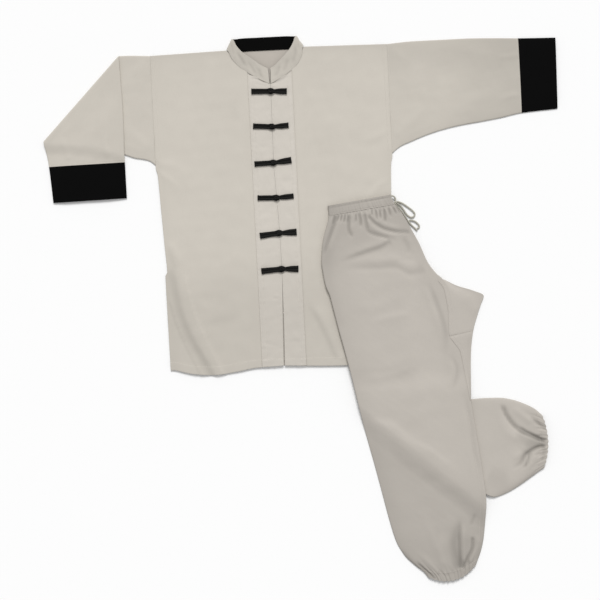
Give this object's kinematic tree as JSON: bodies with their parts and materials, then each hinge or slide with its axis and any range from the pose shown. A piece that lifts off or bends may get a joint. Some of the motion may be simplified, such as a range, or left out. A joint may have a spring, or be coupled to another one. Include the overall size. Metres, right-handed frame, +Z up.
{
  "type": "tai chi uniform",
  "caption": "Tai chi uniform laid flat: frog-buttoned jacket with a standing collar, one sleeve folded over, and drawstring trousers folded in half beside it.",
  "frame": {"origin": "middle of the whole layout's plan box, on the surface that it lies on", "axes": "+Z up from the surface, +Y from the jacket's hem towards its collar, +X towards the straight sleeve"},
  "size_m": [1.2884, 1.3666, 0.021],
  "materials": {
    "jacket_cloth": "matte cotton twill, off-white",
    "trouser_cloth": "matte cotton twill, off-white, a little greyer",
    "black_cloth": "matte black cotton",
    "frog_cord": "black fabric tube, slight sheen",
    "drawstring": "twisted cotton cord"
  },
  "bodies": {
    "root": {"band_front_left": "jacket_cloth", "band_front_right": "jacket_cloth", "collar_lining": "black_cloth", "collar_outer": "jacket_cloth", "cuff_left": "black_cloth", "cuff_right": "black_cloth", "drawstring_bight": "drawstring", "drawstring_end": "drawstring", "drawstring_knot": "drawstring", "drawstring_lead": "drawstring", "drawstring_loop": "drawstring", "frog_1_button": "frog_cord", "frog_1_loop": "frog_cord", "frog_2_button": "frog_cord", "frog_2_loop": "frog_cord", "frog_3_button": "frog_cord", "frog_3_loop": "frog_cord", "frog_4_button": "frog_cord", "frog_4_loop": "frog_cord", "frog_5_button": "frog_cord", "frog_5_loop": "frog_cord", "frog_6_button": "frog_cord", "frog_6_loop": "frog_cord", "gusset_far": "trouser_cloth", "gusset_near": "trouser_cloth", "jacket_back": "jacket_cloth", "jacket_front_left": "jacket_cloth", "jacket_front_right": "jacket_cloth", "leg_far": "trouser_cloth", "leg_near": "trouser_cloth", "sleeve_left": "jacket_cloth", "sleeve_right": "jacket_cloth", "waistband": "trouser_cloth"}
  },
  "joints": []
}
